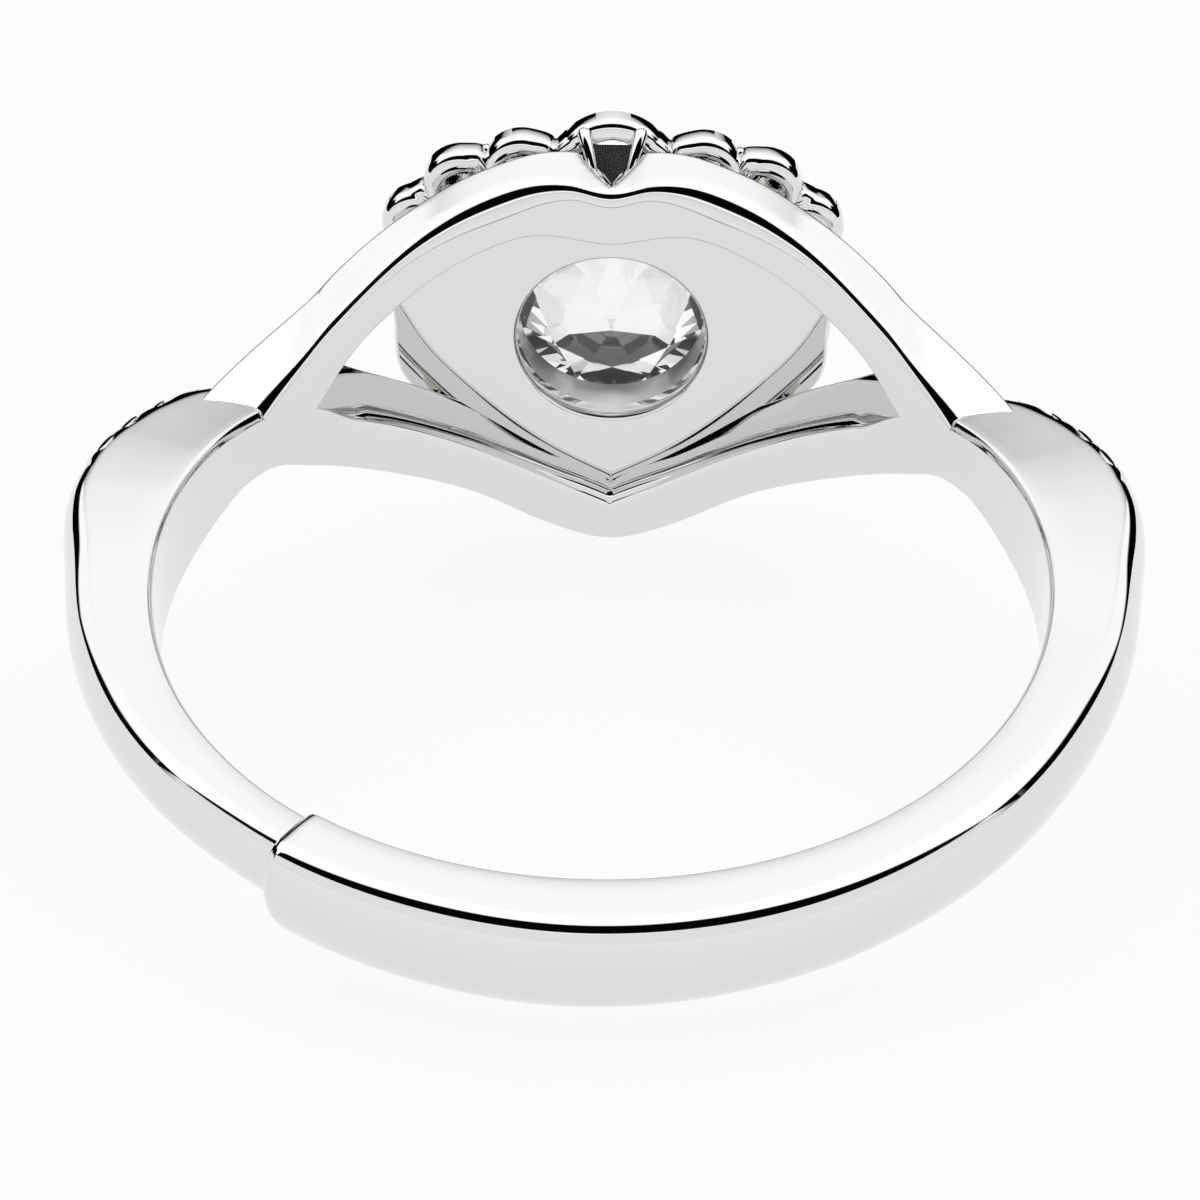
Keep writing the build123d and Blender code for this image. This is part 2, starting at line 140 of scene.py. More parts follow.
class HaloRingBandSizes(bpy.types.PropertyGroup):
    """Sizes of the band, its shoulders and its sizing joint."""

    finger_radius: length("Finger Radius", 8.5, "From the finger's middle to the bore")
    thickness: length("Thickness", 1.57, "From the bore to the crown at the back")
    width: length("Width", 1.94, "Along the finger")
    crown: length("Crown", 0.6, "How far the outer face bulges past its edges")
    bore_chamfer: length("Bore Chamfer", 0.12, "Radius of the soft chamfer along the finger")
    nose_chamfer: length("Nose Chamfer", 0.62, "Radius of the same chamfer at the shoulders' ends")
    nose_slant: angle("Nose Slant", 2.3, "How far the shoulders' outsides run on towards the head")
    side_dome: length("Side Dome", 0.045, "How far the sides fall away towards the finger")
    dome_reach: length("Dome Reach", 0.5, "How far from the finger the sides fall away")
    nose_rounding: length("Nose Rounding", 0.16, "Rounding of the shoulders' ends")
    joint_angle: angle("Joint", 213.0, "From the head to the sleeve's mouth, by the right side")
    tongue_length: length("Tongue Length", 2.4, "How far the tongue runs into the sleeve")
    tongue_thickness: length("Tongue Thickness", 1.08, "Of the tongue, across the band")
    tongue_width: length("Tongue Width", 1.6, "Of the tongue, along the finger")
    sleeve_rounding: length("Sleeve Rounding", 0.3, "Rounding of the sleeve's mouth")


class HaloRingHeadSizes(bpy.types.PropertyGroup):
    """Sizes of the branches, the back plate, the gallery and the halo."""

    branch_depth: length("Branch Depth", 1.3, "From the bore to the branches' outside")
    branch_rounding: length("Branch Rounding", 0.34, "Rounding of the branches' edges at the finger")
    branch_dome: length("Branch Dome", 0.09, "Bulge of the branches' outsides")
    branch_edge: length("Branch Edge", 0.12, "Rounding of the upper branch's outer edge")
    branch_lean: length("Branch Lean", 0.2, "Fall of the upper branch's face towards the finger")
    window_rounding: length("Window Rounding", 0.12, "Rounding of the window's edges")
    branch_end: angle("Branch End", 63.4, "From the head to where the branches enter the shoulders")
    rise: length("Head Rise", 3.91, "Top of the upper branch")
    drop: length("Head Drop", 5.43, "Tip of the lower branch")
    window_rise: length("Window Rise", 2.72, "Top of the window")
    window_drop: length("Window Drop", 4.2, "Tip of the window")
    notch_width: length("Notch Width", 1.5, "Across the cleft's notch in the upper branch")
    notch_depth: length("Notch Depth", 0.9, "Of the cleft's notch at the outside")
    plate_gap: length("Plate Gap", 0.6, "From the bore to the back plate")
    plate_thickness: length("Plate Thickness", 0.45, "Of the back plate")
    light_hole: length("Light Hole", 2.05, "Radius of the round hole in the back plate")
    hole_rounding: length("Hole Rounding", 0.15, "Rounding of the light hole's edge, across the hole")
    hole_depth: length("Hole Rounding Depth", 0.24, "Rounding of the light hole's edge, along the head")
    centre_height: length("Centre Height", -0.38, "Of the centre stone's axis along the finger", -5.0)
    gallery_height: length("Gallery Height", 0.8, "From the back plate to the halo")
    halo_half_width: length("Halo Half Width", 4.45, "To the middle of the widest halo stones")
    halo_rise: length("Halo Rise", 3.15, "To the middle of the cleft stone")
    halo_drop: length("Halo Drop", 4.5, "To the middle of the tip stone")
    halo_thickness: length("Halo Thickness", 0.55, "Of the halo's frame")
    seat_wall: length("Seat Wall", 0.21, "Metal round each halo stone")
    collar_radius: length("Cleft Collar", 1.6, "Radius of the collar round the cleft stone")
    collar_rise: length("Collar Rise", 2.54, "To the middle of the cleft collar")
    bead_radius: length("Bead", 0.19, "Radius of the beads between the halo's stones")
    claw_turn: angle("Claw Angle", 39.0, "Of each claw from the head's width")
    claw_radius: length("Claw", 0.25, "Radius of the centre stone's claws")


class HaloRingStoneSizes(bpy.types.PropertyGroup):
    """Sizes of the stones that the metal is fitted to."""

    centre_radius: length("Centre Stone", 2.5, "Radius of the centre stone")
    centre_pavilion: length("Centre Pavilion", 1.04, "Depth of the centre stone's pavilion")
    centre_girdle: length("Centre Girdle", 0.12, "Height of the centre stone's girdle")
    centre_crown: length("Centre Crown", 0.78, "Height of the centre stone's crown")
    culet_recess: length("Culet Recess", 0.4, "From the back plate to the culet")
    halo_radius: length("Halo Stone", 0.62, "Radius of the halo's stones")
    cleft_radius: length("Cleft Stone", 0.8, "Radius of the stone at the cleft")
    shoulder_radius: length("Shoulder Stone", 0.38, "Radius of the shoulders' stones")
    shoulder_pitch: length("Shoulder Pitch", 0.86, "From one shoulder stone to the next")
    shoulder_first: angle("Shoulder Start", 57.6, "From the head to the first shoulder stone's edge")
    shoulder_count: bpy.props.IntProperty(
        name="Shoulder Stones", description="Number of stones on each shoulder", default=4, min=1
    )


def colour(name, value, note):
    """A colour property, from an sRGB hex value."""
    return bpy.props.FloatVectorProperty(
        name=name, description=note, default=linear(value), min=0.0, max=1.0, size=4, subtype="COLOR"
    )


def linear(value):
    """Turn an sRGB hex value into linear red, green, blue and alpha."""
    channels = [int(value[place:place + 2], 16) / 255 for place in (0, 2, 4)]
    return tuple(c / 12.92 if c <= 0.04045 else ((c + 0.055) / 1.055) ** 2.4 for c in channels) + (1.0,)


class HaloRingColours(bpy.types.PropertyGroup):
    """Colours of the finishes and of the studio."""

    rhodium: colour("Rhodium", "E0E0DF", "Polished rhodium plating")
    zirconia: colour("Zirconia", "EAECED", "Clear cubic zirconia")
    floor: colour("Floor", "505050", "Opal acrylic under the ring")
    sky: colour("Studio Light", "FFFFFF", "Soft white light all round")
    card: colour("Dark Card", "050505", "Dark card that draws the black lines in the metal")


def sizes():
    """The three groups of sizes that the pieces are built from."""
    scene = bpy.context.scene
    return scene.halo_ring_band, scene.halo_ring_head, scene.halo_ring_stones


def head_places():
    """Distances along the head, from the finger's middle outwards."""
    band, head, stones = sizes()
    places = {"plate_back": band.finger_radius + head.plate_gap}
    places["plate_front"] = places["plate_back"] + head.plate_thickness
    places["halo_back"] = places["plate_front"] + head.gallery_height
    places["halo_front"] = places["halo_back"] + head.halo_thickness
    places["centre_girdle"] = places["plate_back"] + stones.culet_recess + stones.centre_pavilion
    return places


def resting_pose():
    """The move from the ring's own frame, finger along Z and head towards Y, to where it lies."""
    band, head, stones = sizes()
    tip_reach = band.finger_radius + head.branch_depth
    tilt = atan2(head.drop - band.width / 2, tip_reach + band.finger_radius + band.thickness)
    turn = Matrix.Rotation(tilt, 4, "X")
    head_way = turn @ Vector((0, 1, 0))
    culet = min((v.co for v in NODES["centre_stone"].data.vertices), key=lambda co: co.dot(head_way))
    own_culet = Vector((0, head_places()["plate_back"] + stones.culet_recess, head.centre_height))
    return Matrix.Translation(culet - turn @ own_culet) @ turn


def smooth_curve(points, mirrored=False):
    """A function through (x, y) points, level at the first if the curve goes on mirrored past it."""
    points = sorted(points)
    slopes = []
    for place in range(len(points)):
        before, after = points[max(place - 1, 0)], points[min(place + 1, len(points) - 1)]
        slopes.append((after[1] - before[1]) / (after[0] - before[0]))
    if mirrored:
        slopes[0] = 0.0

    def value(x):
        x = min(max(x, points[0][0]), points[-1][0])
        place = max(bisect_left([point[0] for point in points], x) - 1, 0)
        (x0, y0), (x1, y1) = points[place], points[place + 1]
        run = x1 - x0
        s = (x - x0) / run
        return (
            y0 * (1 + 2 * s) * (1 - s) ** 2
            + slopes[place] * run * s * (1 - s) ** 2
            + y1 * s * s * (3 - 2 * s)
            + slopes[place + 1] * run * s * s * (s - 1)
        )

    return value


def scaled(points, half_width, rise, drop):
    """Turn shares into lengths, with rises above the finger's middle and drops below it."""
    return [(across * half_width, along * (rise if along > 0 else drop)) for across, along in points]


def smooth_step(low, high, value):
    """A smooth rise from 0 to 1 between two values."""
    share = min(max((value - low) / (high - low), 0.0), 1.0)
    return share * share * (3 - 2 * share)


def halo_seats():
    """The middles of the halo's stones, across and along, round from the cleft by the right side."""
    head = sizes()[1]
    ring = [(0.0, 1.0)] + SIDE_SEATS + [(0.0, -1.0)] + [(-x, z) for x, z in reversed(SIDE_SEATS)]
    return scaled(ring, head.halo_half_width, head.halo_rise, head.halo_drop)


def round_ways(count):
    """The cosines and sines of equal turns all round."""
    turns = [2 * pi * step / count for step in range(count)]
    return [(cos(turn), sin(turn)) for turn in turns]


def add_rings(mesh, rings, closed_along=False):
    """Join closed rings of points with faces, and cap the two end rings or join them as well."""
    loops = [[mesh.verts.new(point) for point in ring] for ring in rings]
    count = len(loops[0])
    pairs = list(zip(loops, loops[1:]))
    if closed_along:
        pairs.append((loops[-1], loops[0]))
    for near, far in pairs:
        for place in range(count):
            after = (place + 1) % count
            mesh.faces.new((near[place], near[after], far[after], far[place]))
    if not closed_along:
        mesh.faces.new(list(reversed(loops[0])))
        mesh.faces.new(loops[-1])


def new_object(name, data):
    """Put a new object into the scene."""
    added = bpy.data.objects.new(name, data)
    bpy.context.scene.collection.objects.link(added)
    return added


def resting_mesh(name, mesh):
    """Turn a mesh in the ring's own frame into mesh data where the ring rests."""
    bmesh.ops.recalc_face_normals(mesh, faces=mesh.faces)
    data = bpy.data.meshes.new(name)
    mesh.to_mesh(data)
    mesh.free()
    data.transform(resting_pose())
    return data


def shade_smooth(data, sharp):
    """Shade all faces smooth, with a crisp line at edges sharper than an angle in degrees."""
    data.polygons.foreach_set("use_smooth", [True] * len(data.polygons))
    data.set_sharp_from_angle(angle=radians(sharp))


def finish_piece(name, mesh, sharp, material=None):
    """Make a piece that stands for the metal and rides with it, polished unless a finish is given."""
    data = resting_mesh(name, mesh)
    shade_smooth(data, sharp)
    data.materials.append(material or polished_rhodium())
    piece = new_object(name, data)
    weighted = piece.modifiers.new("Even Normals", "WEIGHTED_NORMAL")
    weighted.keep_sharp = True
    weighted.weight = 60
    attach(piece, "root")
    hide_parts(METAL_NODE)
    return piece


def ring_piece(name, rings, sharp, closed_along=False, material=None):
    """Make a piece from its rings of points alone."""
    mesh = bmesh.new()
    add_rings(mesh, rings, closed_along)
    return finish_piece(name, mesh, sharp, material)


def add_node(tree, kind, settings=None, links=None):
    """Add one node with its settings, by attribute or by socket, and link its inputs."""
    node = tree.nodes.new(kind)
    for name, value in (settings or {}).items():
        if name in node.inputs:
            node.inputs[name].default_value = value
        else:
            setattr(node, name, value)
    for name, source in (links or {}).items():
        tree.links.new(source, node.inputs[name])
    return node


def new_material(name):
    """A material and its node tree, still empty."""
    material = bpy.data.materials.new(name)
    material.use_nodes = True
    material.node_tree.nodes.clear()
    return material, material.node_tree


def rhodium(finish, smoothest, roughest):
    """Silver cast and plated with rhodium, a cold near-white, between two roughnesses.

    The felt wheel leaves a faint haze that comes and goes over a millimetre or so, and hair lines too
    fine to see, drawn here a little coarser than they are.
    """
    name = "Rhodium plated silver, " + finish
    if name in bpy.data.materials:
        return bpy.data.materials[name]
    material, tree = new_material(name)
    haze_size = 1.2 * MM
    hair_line = 0.05 * MM
    place = add_node(tree, "ShaderNodeTexCoord").outputs["Object"]
    haze = add_node(tree, "ShaderNodeTexNoise", {"Scale": 1 / haze_size, "Detail": 2.0}, {"Vector": place})
    spread = {"From Min": 0.3, "From Max": 0.7, "To Min": smoothest, "To Max": roughest}
    rough = add_node(tree, "ShaderNodeMapRange", spread, {"Value": haze.outputs["Fac"]})
    grain = {"Scale": 1 / hair_line, "Detail": 1.0, "Distortion": 0.6}
    lines = add_node(tree, "ShaderNodeTexNoise", grain, {"Vector": place})
    depth = {"Strength": 0.012, "Distance": 0.002 * MM}
    relief = add_node(tree, "ShaderNodeBump", depth, {"Height": lines.outputs["Fac"]})
    shader = add_node(
        tree,
        "ShaderNodeBsdfPrincipled",
        {"Base Color": tuple(bpy.context.scene.halo_ring_colours.rhodium), "Metallic": 1.0},
        {"Roughness": rough.outputs["Result"], "Normal": relief.outputs["Normal"]},
    )
    add_node(tree, "ShaderNodeOutputMaterial", {}, {"Surface": shader.outputs["BSDF"]})
    return material


def polished_rhodium():
    """The finish of all that the felt wheel reaches: a mirror."""
    return rhodium("mirror polished", 0.02, 0.035)


def brushed_rhodium():
    """The finish in the cleft, where only a small brush reaches: its mirror images are soft."""
    return rhodium("brushed", 0.13, 0.16)


def satin_rhodium():
    """The finish behind the centre stone, as it was cast and tumbled: it shows no mirror images."""
    return rhodium("satin", 0.3, 0.38)


def clear_zirconia():
    """Cubic zirconia, cut and polished flat: clear as water, with strong reflections and deep refraction."""
    material, tree = new_material("Cubic zirconia, facet cut")
    cloud_size = 0.8 * MM
    place = add_node(tree, "ShaderNodeTexCoord").outputs["Object"]
    cloud = add_node(tree, "ShaderNodeTexNoise", {"Scale": 1 / cloud_size, "Detail": 1.0}, {"Vector": place})
    own = tuple(bpy.context.scene.halo_ring_colours.zirconia)
    mix = {"data_type": "RGBA", "A": own, "B": linear("FFFFFF")}
    tint = add_node(tree, "ShaderNodeMix", mix, {"Factor": cloud.outputs["Fac"]})
    mixed = next(socket for socket in tint.outputs if socket.type == "RGBA" and socket.enabled)
    glassy = {"Roughness": 0.0, "IOR": 2.16, "Transmission Weight": 1.0}
    shader = add_node(tree, "ShaderNodeBsdfPrincipled", glassy, {"Base Color": mixed})
    add_node(tree, "ShaderNodeOutputMaterial", {}, {"Surface": shader.outputs["BSDF"]})
    return material


def light_table():
    """Opal acrylic of a light table, lit softly from below, with the faint mottling of its matt skin."""
    material, tree = new_material("Opal acrylic, matt, lit from below")
    mottle_size = 0.4 * MM
    place = add_node(tree, "ShaderNodeTexCoord").outputs["Object"]
    grain = {"Scale": 1 / mottle_size, "Detail": 3.0}
    mottle = add_node(tree, "ShaderNodeTexNoise", grain, {"Vector": place})
    depth = {"Strength": 0.03, "Distance": 0.01 * MM}
    relief = add_node(tree, "ShaderNodeBump", depth, {"Height": mottle.outputs["Fac"]})
    skin = {
        "Base Color": tuple(bpy.context.scene.halo_ring_colours.floor),
        "Roughness": 0.6,
        "Specular IOR Level": 0.1,
        "Emission Color": linear("FFFFFF"),
        "Emission Strength": 0.9,
    }
    shader = add_node(tree, "ShaderNodeBsdfPrincipled", skin, {"Normal": relief.outputs["Normal"]})
    add_node(tree, "ShaderNodeOutputMaterial", {}, {"Surface": shader.outputs["BSDF"]})
    return material


def arc_chain(arcs):
    """Points of a line that bends by a quarter turn through arcs, given as end angle, radius and steps.

    It starts square to the first direction and ends square to the second, from (0, 0).
    """
    points = [(0.0, 0.0)]
    start = 0.0
    for stop, radius, steps in arcs:
        for step in range(1, steps + 1):
            out, down = points[-1]
            before = start + (stop - start) * (step - 1) / steps
            swing = start + (stop - start) * step / steps
            out += radius * (sin(swing) - sin(before))
            down += radius * (cos(before) - cos(swing))
            points.append((out, down))
        start = stop
    return points


def outer_face(bulge, half, flatness):
    """The outer face as (out, along) points from its edge to its middle, between an ellipse and two arcs."""
    steps = (12, 3, 9)
    tight = 0.05 * MM
    first, second = radians(40), radians(54)
    slope = 0.364
    broad = (half - slope * bulge) / (cos(second) - slope * (1 - sin(second)))
    near = max((bulge - broad * (1 - sin(second))) / sin(first), tight)
    chain = arc_chain([(first, near, steps[0]), (second, tight, steps[1]), (pi / 2, broad, steps[2])])
    wide, deep = chain[-1]
    points = []
    for place, (out, down) in enumerate(chain[1:], 1):
        swing = place / sum(steps) * pi / 2
        arc = (out * bulge / wide, half - down * half / deep)
        oval = (bulge * sin(swing), half * cos(swing))
        points.append(tuple(a * flatness + b * (1 - flatness) for a, b in zip(arc, oval)))
    return points


def bore_corner(turn):
    """The corner at the finger as (in, down) points from the side to the bore, softened by a chamfer."""
    band = sizes()[0]
    near_nose = 1 - smooth_step(radians(60), radians(88), turn)
    radius = band.bore_chamfer + (band.nose_chamfer - band.bore_chamfer) * near_nose
    middle = radians(36 + 17 * near_nose)
    spread = radians(9)
    last = 0.2 * MM - 0.14 * MM * near_nose
    return arc_chain([(middle - spread, 0.04 * MM, 3), (middle + spread, radius, 6), (pi / 2, last, 5)])


def band_profile(thickness, width, crown, corner, dome, flatness, groove, scallop):
    """One section of the band as (reach, along) points, from the bore's middle up and round.

    The sides fall away softly at the finger and end in a corner, which shrinks where the band is thin. A
    groove sinks the middle of the outer face for the shoulder's stones, and a scallop swells it beside
    each stone.
    """
    band, stones = sizes()[::2]
    half = width / 2
    bore = band.finger_radius
    most_crown = 0.62
    bulge = min(crown, thickness * most_crown)
    edge = bore + thickness - bulge
    wide, deep = corner[-1]
    most_wide, most_deep = 0.3, 0.6
    fit = min(1.0, thickness * most_wide / wide, half * most_deep / deep)
    start = bore + wide * fit
    upper = [(bore, (half - deep * fit) * share) for share in (0.0, 0.4, 0.75)]
    upper += [(start - inward * fit, half - down * fit) for inward, down in reversed(corner)]
    upper += [(start + (edge - start) * share, half) for share in (0.12, 0.25, 0.4, 0.55, 0.7, 0.85, 1.0)]
    rail = stones.shoulder_radius + 0.05 * MM
    for out, along in outer_face(bulge, half, flatness):
        reach = edge + out
        reach += scallop * (4 * (along / half) ** 2 * (1 - (along / half) ** 2))
        if along < rail:
            reach -= groove * smooth_step(0.0, 0.35, (rail - along) / rail)
        upper.append((reach, along))
    fall = [max(0.0, 1 - (reach - bore) / band.dome_reach) ** 2 for reach, along in upper]
    upper = [(reach, along - dome * less * along / half) for (reach, along), less in zip(upper, fall)]
    return upper + [(reach, -along) for reach, along in reversed(upper[1:-1])]


def band_point(turn, reach, along):
    """A point of the band, from its angle off the head, its reach from the finger and its height."""
    return Vector((reach * sin(turn), reach * cos(turn), along))


def section_curves(sections):
    """The band's thickness, width and crown as functions of the angle off the head."""
    band = sizes()[0]
    return [
        smooth_curve([(radians(row[0]), row[column] * size) for row in sections])
        for column, size in ((1, band.thickness), (2, band.width), (3, band.crown))
    ]


def shoulder_steps():
    """The angles of the shoulder stones' middles, and the angle from one to the next."""
    band, stones = sizes()[::2]
    thickest = band.finger_radius + band.thickness * max(row[1] for row in SHOULDER_SECTIONS)
    pitch = stones.shoulder_pitch / thickest
    return [stones.shoulder_first + pitch * (number + 0.5) for number in range(stones.shoulder_count)], pitch


def band_ring(turn, side, thickness, width, crown, lift=0.0):
    """One ring of the band's surface, with the stones' groove where it crosses a shoulder."""
    band, stones = sizes()[::2]
    middles, pitch = shoulder_steps()
    past_stone = pitch * 0.62
    start, end = middles[0] - past_stone, middles[-1] + past_stone
    blend = pitch * 0.14
    inside = smooth_step(start, start + blend, turn) * (1 - smooth_step(end - blend, end, turn))
    beside = 0.5 + 0.5 * cos(2 * pi * (turn - middles[0]) / pitch)
    groove = inside * stones.shoulder_radius * 0.85
    scallop = inside * 0.07 * MM * (beside - 0.5)
    flatness = smooth_step(radians(78), radians(95), turn)
    slant = band.nose_slant * (1 - smooth_step(radians(57), radians(70), turn)) / thickness
    dome = band.side_dome * smooth_step(radians(64), radians(92), turn)
    points = band_profile(thickness, width, crown, bore_corner(turn), dome, flatness, groove, scallop)
    return [
        band_point(side * (turn - slant * (reach - band.finger_radius)), reach + lift, along)
        for reach, along in points
    ]


def band_rings(sections, side, stop):
    """Rings of one side of the band, from the shoulder's nose to an angle, and the sizes there."""
    band = sizes()[0]
    curves = section_curves(sections)
    step = radians(0.9)
    rings = []
    nose = radians(sections[0][0])
    thickness, width, crown = [curve(nose) for curve in curves]
    for swing in [radians(degree) for degree in (90, 80, 68, 56, 44, 32, 20, 10)]:
        less = band.nose_rounding * (1 - cos(swing))
        turn = nose - band.nose_rounding * sin(swing) / (band.finger_radius + thickness / 2)
        rings.append(band_ring(turn, side, thickness - less, width - 2 * less, crown))
    turn = nose
    while turn < stop - step / 4:
        rings.append(band_ring(turn, side, *[curve(turn) for curve in curves]))
        turn += step / 4 if turn < radians(80) else step
    last = [curve(stop) for curve in curves]
    rings.append(band_ring(stop, side, *last))
    return rings, last


class HALORING_OT_band_right(bpy.types.Operator):
    """Build the right shoulder and the band round to the sleeve's mouth"""

    bl_idname = "haloring.band_right"
    bl_label = "Right Band and Sleeve"

    def execute(self, context):
        band = sizes()[0]
        sections = RIGHT_SECTIONS + [(degrees(band.joint_angle), 0.93, 1.05, 1.0)]
        rings, (thickness, width, crown) = band_rings(sections, 1, band.joint_angle)
        rounding = band.sleeve_rounding
        for step in range(1, 11):
            swing = step / 10 * pi / 2
            shrink = rounding * (1 - cos(swing))
            turn = band.joint_angle + rounding * sin(swing) / band.finger_radius
            rings.append(band_ring(turn, 1, thickness - shrink, width - 2 * shrink, crown))
        mouth = band.joint_angle + rounding / band.finger_radius
        deep = mouth - 3 * rounding / band.finger_radius
        gap = 0.03 * MM
        room = (band.tongue_thickness + gap, band.tongue_width + 2 * gap, band.crown, gap / 2)
        rings += [band_ring(turn, 1, *room) for turn in (mouth, deep)]
        ring_piece("band_right", rings, 50.0)
        return {"FINISHED"}


class HALORING_OT_band_left(bpy.types.Operator):
    """Build the left shoulder and the band down to the tongue"""

    bl_idname = "haloring.band_left"
    bl_label = "Left Band and Tongue"

    def execute(self, context):
        band = sizes()[0]
        mouth = 2 * pi - band.joint_angle
        tongue = (band.tongue_thickness / band.thickness, band.tongue_width / band.width, 0.8)
        sections = LEFT_SECTIONS + [(degrees(mouth) - 8,) + tongue, (degrees(mouth) + 2,) + tongue]
        rings, last = band_rings(sections, -1, mouth)
        end = mouth + band.tongue_length / band.finger_radius
        sunk = 0.02 * MM
        rings += [band_ring(turn, -1, *last, sunk) for turn in ((mouth + end) / 2, end)]
        ring_piece("band_left", rings, 50.0)
        return {"FINISHED"}


def branch_columns(end, corner, count):
    """Places across the head for the branches' faces, with one at the window's corner on each side."""
    outer = [corner + (end - corner) * step / 16 for step in range(1, 17)]
    inner = [corner * sin(step / count * pi / 2) for step in range(0, count + 1)]
    right = inner + outer
    return [-x for x in reversed(right[1:])] + right


def rounded_bar(depth, low, high, roundings, outer_dome, lean=0.0):
    """A rounded rectangle as (depth, along) points, from its finger side up and round.

    The roundings are at the high finger corner, the high outer, the low outer and the low finger corner.
    The outside swells by the dome, and the high side falls towards the finger by the lean.
    """
    limit = min(depth * 0.48, (high - low) * 0.48)
    a, b, c, d = [min(rounding, limit) for rounding in roundings]
    corners = [
        (a, high - a, a, 180), (depth - b, high - b, b, 90), (depth - c, low + c, c, 0), (d, low + d, d, 270),
    ]
    face = [(a + (depth - a - b) * share, high) for share in (0.2, 0.4, 0.6, 0.8)]
    outside = [
        (depth + outer_dome * 4 * share * (1 - share), high - b + (low + c - high + b) * share)
        for share in (0.1, 0.2, 0.35, 0.5, 0.65, 0.8, 0.9)
    ]
    points = []
    for (middle, along, radius, start), side in zip(corners, (face, outside, [], [])):
        for step in range(9):
            way = radians(start - step / 8 * 90)
            points.append((middle + radius * cos(way), along + radius * sin(way)))
        points += side
    fall = lean / (depth * (high - low))
    return [(out, along - fall * (depth - out) * (along - low)) for out, along in points]


class HALORING_OT_branches(bpy.types.Operator):
    """Build the two branches that part from the shoulders and meet round the window"""

    bl_idname = "haloring.branches"
    bl_label = "Branches"

    def execute(self, context):
        band, head = sizes()[:2]
        end = band.finger_radius * sin(head.branch_end)
        corner_share = 0.803
        corner = corner_share * end
        top = smooth_curve(scaled(UPPER_BRANCH_EDGE, end, head.rise, head.drop), True)
        bottom = smooth_curve(scaled(LOWER_BRANCH_EDGE, end, head.rise, head.drop), True)
        arch = smooth_curve(scaled(WINDOW_UPPER_EDGE, corner, head.window_rise, head.window_drop), True)
        vee = smooth_curve(scaled(WINDOW_LOWER_EDGE, corner, head.window_rise, head.window_drop))
        columns = branch_columns(end, corner, 120)
        notch_start = 0.3
        corner_blend = 0.9 * MM
        fan_start, fan_end = 0.8 * end, 0.98 * end
        most_swell = 0.9
        swell_start, swell_top, swell_end = 0.08 * end, 0.3 * end, 0.7 * end
        lean_start, lean_end = 0.5 * end, 0.75 * end

        def place(x, depth, along):
            radius = band.finger_radius + depth
            fan = smooth_step(fan_start, fan_end, abs(x))
            out = x * (1 + fan * depth / band.finger_radius)
            return Vector((out, sqrt(max(radius * radius - out * out, 0.0)), along))

        def notch(x, depth):
            share = max(0.0, (depth / head.branch_depth - notch_start) / (1 - notch_start))
            width = head.notch_width / 2 * share
            return max(0.0, head.notch_depth * share * (1 - abs(x) / width)) if width > 0 else 0.0

        mesh = bmesh.new()
        for upper in (True, False):
            rings = []
            for x in columns:
                size = abs(x)
                opening = 1 - smooth_step(corner - corner_blend, corner, size)
                small = head.window_rounding * opening
                large = head.branch_rounding
                inner = 0.0 if size >= corner else (arch(size) if upper else vee(size))
                if upper:
                    grown = most_swell * smooth_step(swell_start, swell_top, size)
                    swell = 1 + grown * (1 - smooth_step(swell_top, swell_end, size))
                    roundings = (large * swell * 0.9, head.branch_edge, small, small)
                    lean = head.branch_lean * (1 + smooth_step(lean_start, lean_end, size))
                    dome = head.branch_dome * smooth_step(0.0, 0.5, size / end)
                    points = rounded_bar(head.branch_depth, inner, top(size), roundings, dome, lean)
                    span = top(size) - inner
                    points = [(out, along - notch(x, out) * (along - inner) / span) for out, along in points]
                else:
                    roundings = (small + large * 1.1 * opening, small, large, large * 0.2)
                    points = rounded_bar(head.branch_depth, bottom(size), inner, roundings, head.branch_dome)
                rings.append([place(x, depth, along) for depth, along in points])
            add_rings(mesh, rings)
        finish_piece("branches", mesh, 50.0)
        return {"FINISHED"}


def round_samples(points, count):
    """Points along a smooth curve through a few given points."""
    ends = [points[0]] + points + [points[-1]]
    out = []
    for four in zip(ends, ends[1:], ends[2:], ends[3:]):
        for step in range(count):
            s = step / count
            point = []
            for a, b, c, d in zip(*four):
                square, cube = 2 * a - 5 * b + 4 * c - d, 3 * b - a - 3 * c + d
                point.append(0.5 * (2 * b + (c - a) * s + square * s * s + cube * s * s * s))
            out.append(tuple(point))
    return out + [points[-1]]


def reaches_round(outline, count):
    """How far a closed outline reaches from the centre stone's axis, in directions at equal turns."""
    middle = sizes()[1].centre_height
    reaches = []
    for dx, dz in round_ways(count):
        best = 0.0
        for (x0, z0), (x1, z1) in zip(outline, outline[1:] + outline[:1]):
            z0, z1 = z0 - middle, z1 - middle
            ex, ez = x1 - x0, z1 - z0
            cross = dx * ez - dz * ex
            if abs(cross) < 1e-15:
                continue
            along = (x0 * ez - z0 * ex) / cross
            share = (x0 * dz - z0 * dx) / cross
            if along > 0 and -1e-9 <= share <= 1 + 1e-9:
                best = max(best, along)
        reaches.append(best)
    return reaches


def head_ring(place, reaches):
    """A ring of points round the centre stone's axis, at a distance along the head."""
    middle = sizes()[1].centre_height
    return [(out * dx, place, middle + out * dz) for out, (dx, dz) in zip(reaches, round_ways(len(reaches)))]


def round_ring(place, radius, count):
    """A round ring of points about the same axis."""
    return head_ring(place, [radius] * count)


